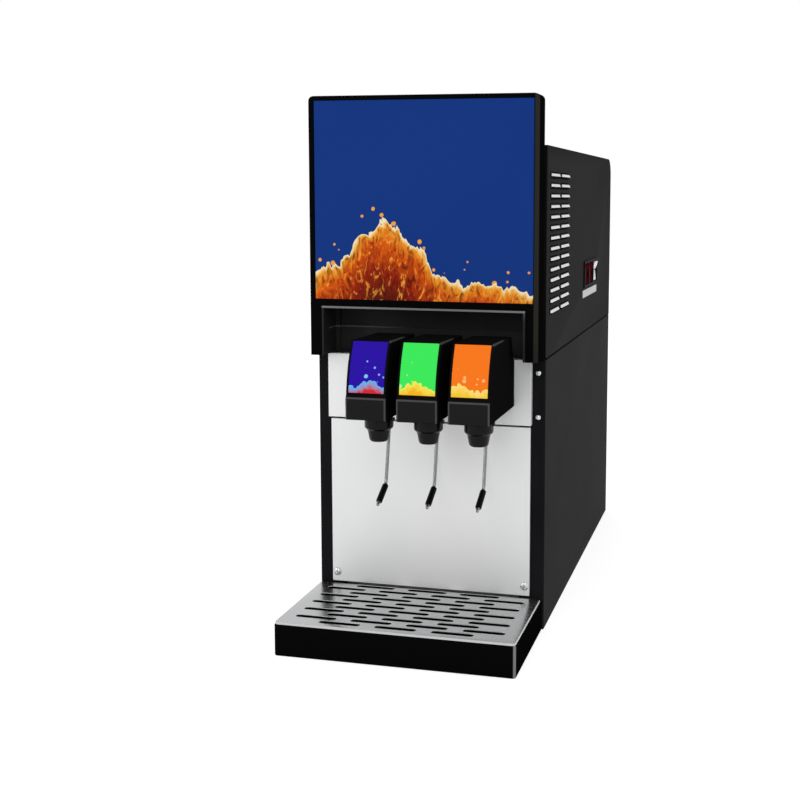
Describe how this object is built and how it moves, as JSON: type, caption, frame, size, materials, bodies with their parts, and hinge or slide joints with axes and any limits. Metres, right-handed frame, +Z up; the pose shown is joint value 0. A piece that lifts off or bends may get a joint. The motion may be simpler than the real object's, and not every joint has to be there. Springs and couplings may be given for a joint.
{
  "type": "soda fountain dispenser",
  "caption": "Countertop soda fountain with lever valves under a lit head, louvred cover, side rocker switches and a lift-out slotted drip grate.",
  "frame": {"origin": "on the counter under the middle of the cabinet's base pan", "axes": "+Z up, -Y towards the person at the levers, +X to the right as that person sees it"},
  "size_m": [0.307, 0.771, 0.671],
  "materials": {
    "black_painted_steel": "satin black powder coat",
    "head_black": "satin black",
    "bright_stainless": "bright stainless sheet",
    "polished_stainless": "polished stainless sheet",
    "plated_steel": "zinc-plated sheet",
    "lit_blue_screen": "backlit printed panel",
    "light_board_white": "white light board",
    "valve_black_plastic": "moulded black",
    "valve_body_grey": "moulded dark grey",
    "violet_label": "backlit label",
    "green_label": "backlit label",
    "orange_label": "backlit label",
    "black_rubber": "soft matte",
    "switch_black_plastic": "moulded black",
    "rocker_red": "dark translucent red",
    "rocker_white": "white",
    "plain_plate_grey": "plain, bare",
    "tray_black": "moulded black",
    "bath_shell_grey": "insulated shell",
    "coil_copper": "bare copper tube",
    "compressor_black": "black enamel",
    "motor_silver": "cast case",
    "fin_aluminium": "bare fins",
    "fan_grey_plastic": "moulded grey",
    "inlet_brass": "turned brass",
    "tank_stainless": "drawn stainless tank",
    "control_box_grey": "grey enamel"
  },
  "bodies": {
    "cabinet": {"base_pan": "black_painted_steel", "side_panel_left": "black_painted_steel", "side_panel_right": "black_painted_steel", "rear_panel": "black_painted_steel", "top_cover": "black_painted_steel", "head_mount_plate": "black_painted_steel", "head_frame": "head_black", "bay_hood": "head_black", "display_panel": "lit_blue_screen", "backlight_board": "light_board_white", "valve_panel": "bright_stainless", "splash_panel": "bright_stainless", "column_screw_upper": "bright_stainless", "column_screw_lower": "bright_stainless", "splash_screw_left": "bright_stainless", "splash_screw_right": "bright_stainless", "deck": "plated_steel", "fan_shroud": "plated_steel", "water_bath": "bath_shell_grey", "evaporator_coil": "coil_copper", "agitator_motor": "motor_silver", "water_pump": "motor_silver", "condenser": "fin_aluminium", "fan_motor": "compressor_black", "compressor": "compressor_black", "carbonator": "tank_stainless", "control_box": "control_box_grey", "power_inlet": "switch_black_plastic", "switch_bank": "switch_black_plastic", "water_inlet": "inlet_brass", "gas_inlet": "inlet_brass", "syrup_inlet_1": "inlet_brass", "syrup_inlet_2": "inlet_brass", "syrup_inlet_3": "inlet_brass", "switch_plate": "plain_plate_grey", "valve_body_1": "valve_body_grey", "valve_body_2": "valve_body_grey", "valve_body_3": "valve_body_grey", "valve_cover_1": "valve_black_plastic", "valve_cover_2": "valve_black_plastic", "valve_cover_3": "valve_black_plastic", "valve_label_1": "violet_label", "valve_label_2": "green_label", "valve_label_3": "orange_label"},
    "drip_tray": {"drip_tray": "tray_black"},
    "drip_grate": {"drip_grate": "polished_stainless"},
    "fan": {"fan": "fan_grey_plastic"},
    "agitator": {"agitator": "plated_steel"},
    "lever_1": {"lever_1": "bright_stainless", "grip_1": "black_rubber"},
    "nozzle_1": {"nozzle_1": "valve_black_plastic"},
    "lever_2": {"lever_2": "bright_stainless", "grip_2": "black_rubber"},
    "nozzle_2": {"nozzle_2": "valve_black_plastic"},
    "lever_3": {"lever_3": "bright_stainless", "grip_3": "black_rubber"},
    "nozzle_3": {"nozzle_3": "valve_black_plastic"},
    "rocker_1": {"rocker_1": "rocker_red"},
    "rocker_2": {"rocker_2": "rocker_red"},
    "rocker_3": {"rocker_3": "rocker_white"}
  },
  "joints": [
    {"name": "tray_slide", "type": "slide", "parent": "cabinet", "child": "drip_tray", "axis": [0, -1, 0], "range_m": [0, 0.15]},
    {"name": "grate_lift", "type": "slide", "parent": "drip_tray", "child": "drip_grate", "axis": [0, 0, 1], "range_m": [0, 0.06]},
    {"name": "fan_spin", "type": "hinge", "parent": "cabinet", "child": "fan", "pos_m": [0.1074, -0.206, 0.472], "axis": [1, 0, 0], "continuous": true},
    {"name": "agitator_spin", "type": "hinge", "parent": "cabinet", "child": "agitator", "pos_m": [0.03, -0.025, 0.16], "axis": [0, 0, 1], "continuous": true},
    {"name": "lever_1_push", "type": "hinge", "parent": "cabinet", "child": "lever_1", "pos_m": [-0.0362, -0.343, 0.2965], "axis": [1, 0, 0], "range_deg": [0, 12], "stiffness_Nm_per_rad": 0.8, "springref_deg": -5.73},
    {"name": "nozzle_1_twist", "type": "hinge", "parent": "cabinet", "child": "nozzle_1", "pos_m": [-0.0362, -0.389, 0.2882], "axis": [0, 0, 1], "range_deg": [0, 45]},
    {"name": "lever_2_push", "type": "hinge", "parent": "cabinet", "child": "lever_2", "pos_m": [0.0258, -0.343, 0.2965], "axis": [1, 0, 0], "range_deg": [0, 12], "stiffness_Nm_per_rad": 0.8, "springref_deg": -5.73},
    {"name": "nozzle_2_twist", "type": "hinge", "parent": "cabinet", "child": "nozzle_2", "pos_m": [0.0258, -0.389, 0.2882], "axis": [0, 0, 1], "range_deg": [0, 45]},
    {"name": "lever_3_push", "type": "hinge", "parent": "cabinet", "child": "lever_3", "pos_m": [0.0878, -0.343, 0.2965], "axis": [1, 0, 0], "range_deg": [0, 12], "stiffness_Nm_per_rad": 0.8, "springref_deg": -5.73},
    {"name": "nozzle_3_twist", "type": "hinge", "parent": "cabinet", "child": "nozzle_3", "pos_m": [0.0878, -0.389, 0.2882], "axis": [0, 0, 1], "range_deg": [0, 45]},
    {"name": "rocker_1_press", "type": "hinge", "parent": "cabinet", "child": "rocker_1", "pos_m": [0.1501, 0.027, 0.433], "axis": [0, -1, 0], "range_deg": [0, 12]},
    {"name": "rocker_2_press", "type": "hinge", "parent": "cabinet", "child": "rocker_2", "pos_m": [0.1501, 0.069, 0.433], "axis": [0, -1, 0], "range_deg": [0, 12]},
    {"name": "rocker_3_press", "type": "hinge", "parent": "cabinet", "child": "rocker_3", "pos_m": [0.1501, 0.111, 0.433], "axis": [0, -1, 0], "range_deg": [0, 12]}
  ]
}
